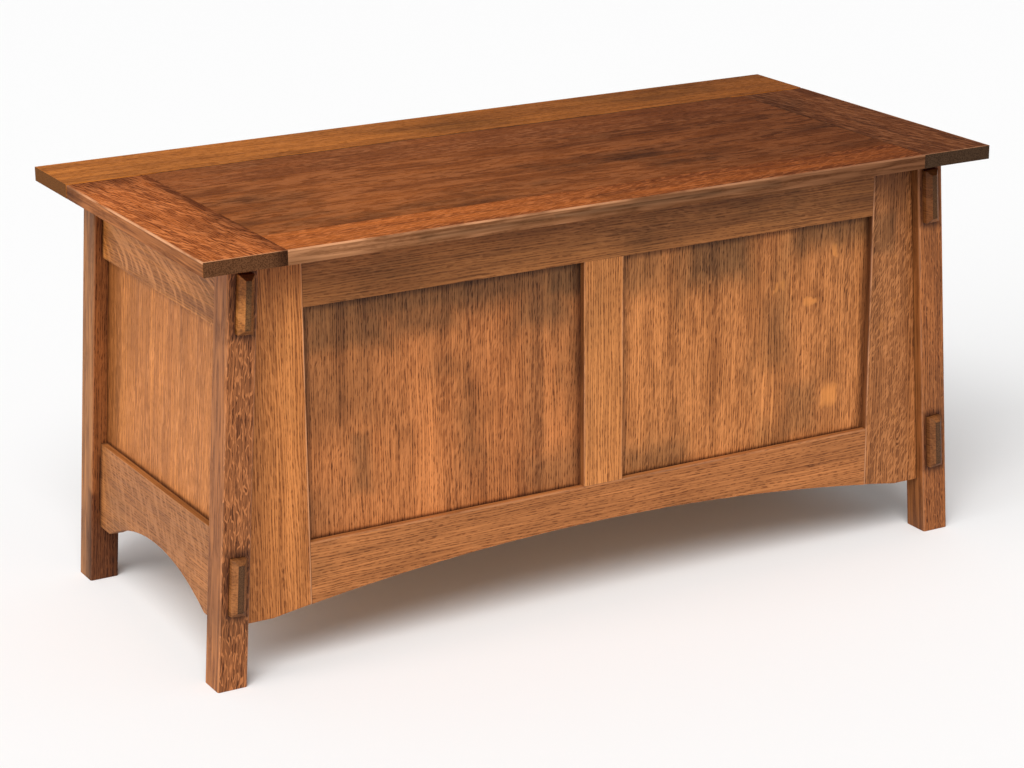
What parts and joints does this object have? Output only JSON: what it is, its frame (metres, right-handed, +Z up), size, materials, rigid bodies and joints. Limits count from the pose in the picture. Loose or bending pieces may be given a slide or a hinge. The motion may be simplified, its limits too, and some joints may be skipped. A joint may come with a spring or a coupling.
{
  "type": "blanket chest",
  "caption": "Low oak blanket chest with flared square posts, arched frame and panel walls, through tenons and a flush lid hinged to a fixed back strip.",
  "frame": {"origin": "on the floor, midway along the lid's length and midway between the front edge of the lid and the back edge of the fixed strip", "axes": "+X along the length to the right seen from the front, +Y from the front to the back, +Z up"},
  "size_m": [1.1684, 0.5612, 0.5695],
  "materials": {
    "oak_post": "stained and glazed quarter-sawn oak, satin",
    "oak_frame": "stained and glazed quarter-sawn oak, satin",
    "oak_panel": "stained and glazed quarter-sawn oak, satin",
    "oak_lid": "stained and glazed quarter-sawn oak, satin",
    "oak_strip": "stained oak, satin",
    "inner_wood": "clear finished wood, satin",
    "hinge_metal": "dark bronze, satin",
    "screw_steel": "dark plated steel"
  },
  "bodies": {
    "carcass": {"post_front_left": "oak_post", "post_front_right": "oak_post", "post_back_left": "oak_post", "post_back_right": "oak_post", "front_stile_left": "oak_frame", "front_stile_right": "oak_frame", "front_center_stile": "oak_frame", "front_top_rail": "oak_frame", "front_arched_rail": "oak_frame", "front_panel_left": "oak_panel", "front_panel_right": "oak_panel", "back_stile_left": "oak_frame", "back_stile_right": "oak_frame", "back_center_stile": "oak_frame", "back_top_rail": "oak_frame", "back_arched_rail": "oak_frame", "back_panel_left": "oak_panel", "back_panel_right": "oak_panel", "side_top_rail_left": "oak_frame", "side_top_rail_right": "oak_frame", "side_arched_rail_left": "oak_frame", "side_arched_rail_right": "oak_frame", "side_panel_left": "oak_panel", "side_panel_right": "oak_panel", "floor_panel": "inner_wood", "floor_cleat_front": "inner_wood", "floor_cleat_back": "inner_wood", "floor_cleat_left": "inner_wood", "floor_cleat_right": "inner_wood", "top_back_strip": "oak_strip", "strip_cleat": "inner_wood", "strip_screw_1": "screw_steel", "strip_screw_2": "screw_steel", "strip_screw_3": "screw_steel", "strip_screw_4": "screw_steel", "strip_screw_5": "screw_steel", "hinge_leaf_strip": "hinge_metal", "hinge_pin": "hinge_metal", "stay_stud_plate_left": "hinge_metal", "stay_stud_plate_right": "hinge_metal", "stay_plate_screw_1_left": "screw_steel", "stay_plate_screw_1_right": "screw_steel", "stay_plate_screw_2_left": "screw_steel", "stay_plate_screw_2_right": "screw_steel"},
    "lid": {"lid_end_board_left": "oak_lid", "lid_end_board_right": "oak_lid", "lid_front_rail": "oak_lid", "lid_back_rail": "oak_lid", "lid_panel": "oak_lid", "hinge_leaf_lid": "hinge_metal", "stay_lid_bracket_left": "hinge_metal", "stay_lid_bracket_right": "hinge_metal", "stay_bracket_screw_1_left": "screw_steel", "stay_bracket_screw_1_right": "screw_steel", "stay_bracket_screw_2_left": "screw_steel", "stay_bracket_screw_2_right": "screw_steel"},
    "left_stay_arm": {"stay_arm_left": "hinge_metal"},
    "right_stay_arm": {"stay_arm_right": "hinge_metal"}
  },
  "joints": [
    {"name": "lid_hinge", "type": "hinge", "parent": "carcass", "child": "lid", "pos_m": [0, 0.1639, 0.56785], "axis": [-1, 0, 0], "range_deg": [0, 100]},
    {"name": "left_stay_pivot", "type": "hinge", "parent": "lid", "child": "left_stay_arm", "pos_m": [-0.4841, 0.0139, 0.53685], "axis": [-1, 0, 0], "range_deg": [-50, 0]},
    {"name": "right_stay_pivot", "type": "hinge", "parent": "lid", "child": "right_stay_arm", "pos_m": [0.4841, 0.0139, 0.53685], "axis": [-1, 0, 0], "range_deg": [-50, 0]}
  ],
  "couplings": [
    {"joint": "left_stay_pivot", "follows": "lid_hinge", "ratio": -0.5},
    {"joint": "right_stay_pivot", "follows": "lid_hinge", "ratio": -0.5}
  ]
}
